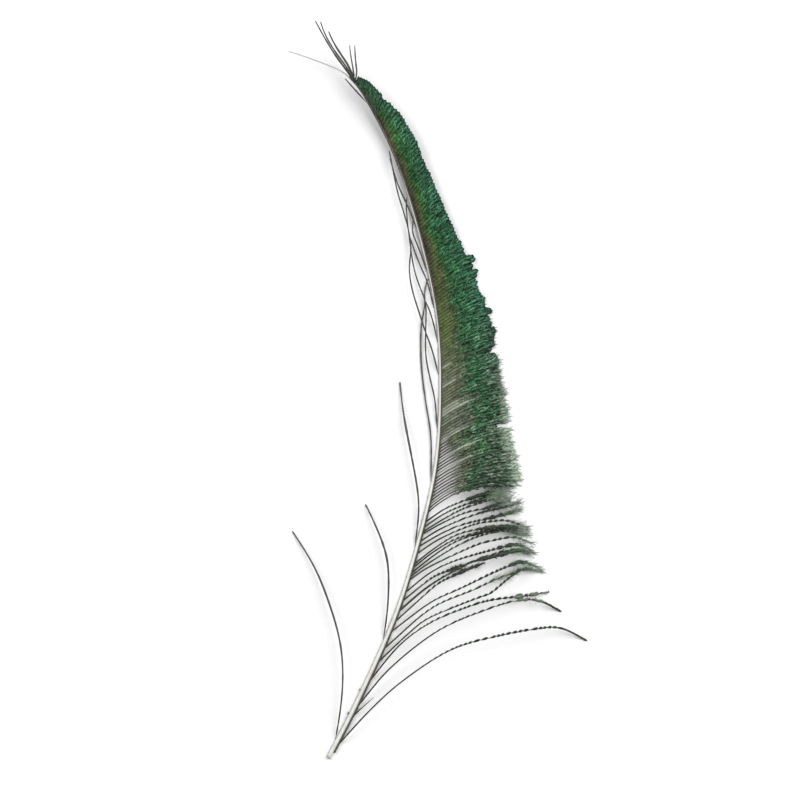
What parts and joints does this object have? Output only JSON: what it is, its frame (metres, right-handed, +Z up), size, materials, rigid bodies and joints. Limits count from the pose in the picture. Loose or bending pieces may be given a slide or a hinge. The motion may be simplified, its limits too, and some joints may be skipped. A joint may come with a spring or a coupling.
{
  "type": "peacock feather",
  "caption": "Long curved peacock sword feather lying flat: pale tapering shaft, narrow dense green vane along one side, loose dark barbs towards the quill.",
  "frame": {"origin": "middle of the feather's plan, on the surface that it lies on", "axes": "+Y from the cut quill towards the tip, +X towards the broad vane, +Z up, off the surface"},
  "size_m": [0.1635, 0.4056, 0.0197],
  "materials": {
    "shaft_keratin": "satin cream horn, darker towards the tip",
    "vane_green": "glossy metallic green barbs over an olive-brown band along the shaft",
    "barb_dark": "matt dark brown horn with short barbules",
    "barb_pale": "matt pale grey horn"
  },
  "bodies": {
    "root": {"shaft": "shaft_keratin", "broad_vane": "vane_green", "narrow_barb_1": "barb_dark", "narrow_barb_2": "barb_dark", "narrow_barb_3": "barb_dark", "narrow_barb_4": "barb_dark", "narrow_barb_5": "barb_dark", "narrow_barb_6": "barb_dark", "narrow_barb_7": "barb_dark", "narrow_barb_8": "barb_dark", "narrow_barb_9": "barb_dark", "narrow_barb_10": "barb_dark", "narrow_barb_11": "barb_dark", "tip_barb_1": "barb_dark", "tip_barb_2": "barb_dark", "tip_barb_3": "barb_dark", "tip_barb_4": "barb_dark", "tip_barb_5": "barb_dark", "tip_barb_6": "barb_pale"}
  },
  "joints": []
}
